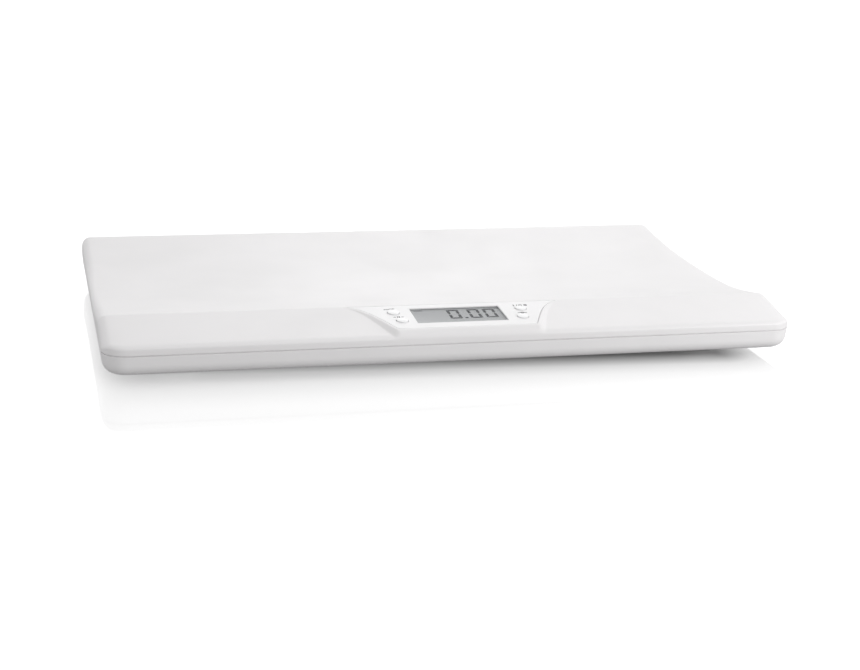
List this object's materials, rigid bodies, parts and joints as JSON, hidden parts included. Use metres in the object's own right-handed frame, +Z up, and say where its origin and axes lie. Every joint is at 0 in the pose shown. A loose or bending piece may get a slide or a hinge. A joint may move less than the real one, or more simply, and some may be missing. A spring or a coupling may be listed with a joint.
{
  "type": "digital baby weighing scale",
  "caption": "Low white digital baby scale: a curved tray on a shallow base, with a raised console holding a grey display and round buttons.",
  "frame": {"origin": "on the floor under the centre of the plan", "axes": "+X along the length, to the right when facing the display; +Y from the display side to the back; +Z up"},
  "size_m": [0.55, 0.33, 0.042],
  "materials": {
    "shell": "fine satin",
    "panel": "satin",
    "cap": "gloss",
    "window": "clear",
    "lcd": "satin",
    "inner_plastic": "matte",
    "board": "solder mask",
    "black_part": "matte",
    "elastomer": "matte",
    "steel": "zinc plated",
    "foot_rubber": "matte",
    "battery": "printed sleeve",
    "lead": "matte"
  },
  "bodies": {
    "body": {"base_shell": "shell", "battery_1": "battery", "battery_2": "battery", "battery_3": "battery", "battery_contact_bridge_left": "steel", "battery_contact_bridge_right": "steel", "battery_contact_minus": "steel", "battery_contact_plus": "steel", "battery_spring_1": "steel", "battery_spring_2": "steel", "battery_spring_3": "steel", "board_screw_left": "steel", "board_screw_right": "steel", "buzzer": "black_part", "case_screw_1": "steel", "case_screw_2": "steel", "case_screw_3": "steel", "case_screw_4": "steel", "case_screw_5": "steel", "case_screw_6": "steel", "case_screw_7": "steel", "case_screw_8": "steel", "console_panel": "panel", "control_chip": "black_part", "display_window": "window", "elastomer_connector": "elastomer", "foot_cup_back_left": "shell", "foot_cup_back_right": "shell", "foot_cup_front_left": "shell", "foot_cup_front_right": "shell", "foot_pad_back_left": "foot_rubber", "foot_pad_back_right": "foot_rubber", "foot_pad_front_left": "foot_rubber", "foot_pad_front_right": "foot_rubber", "lcd_cell": "lcd", "lcd_frame": "inner_plastic", "load_cell_back_left": "steel", "load_cell_back_right": "steel", "load_cell_front_left": "steel", "load_cell_front_right": "steel", "load_cell_lead_back_left": "lead", "load_cell_lead_back_right": "lead", "load_cell_lead_front_left": "lead", "load_cell_lead_front_right": "lead", "main_board": "board", "tact_switch_hold": "steel", "tact_switch_on_off": "steel", "tact_switch_tare": "steel", "tact_switch_unit": "steel", "tray_shell": "shell"},
    "unit_key": {"unit_button": "cap", "switch_plunger_unit": "black_part"},
    "hold_key": {"hold_button": "cap", "switch_plunger_hold": "black_part"},
    "on_off_key": {"on_off_button": "cap", "switch_plunger_on_off": "black_part"},
    "tare_key": {"tare_button": "cap", "switch_plunger_tare": "black_part"},
    "door": {"battery_door": "shell"}
  },
  "joints": [
    {"name": "unit_press", "type": "slide", "parent": "body", "child": "unit_key", "axis": [0, 0.0896, -0.996], "range_m": [0, 0.0008], "stiffness_N_per_m": 900},
    {"name": "hold_press", "type": "slide", "parent": "body", "child": "hold_key", "axis": [0, 0.0896, -0.996], "range_m": [0, 0.0008], "stiffness_N_per_m": 900},
    {"name": "on_off_press", "type": "slide", "parent": "body", "child": "on_off_key", "axis": [0, 0.0896, -0.996], "range_m": [0, 0.0008], "stiffness_N_per_m": 900},
    {"name": "tare_press", "type": "slide", "parent": "body", "child": "tare_key", "axis": [0, 0.0896, -0.996], "range_m": [0, 0.0008], "stiffness_N_per_m": 900},
    {"name": "door_slide", "type": "slide", "parent": "body", "child": "door", "axis": [-1, 0, 0], "range_m": [0, 0.008]}
  ]
}
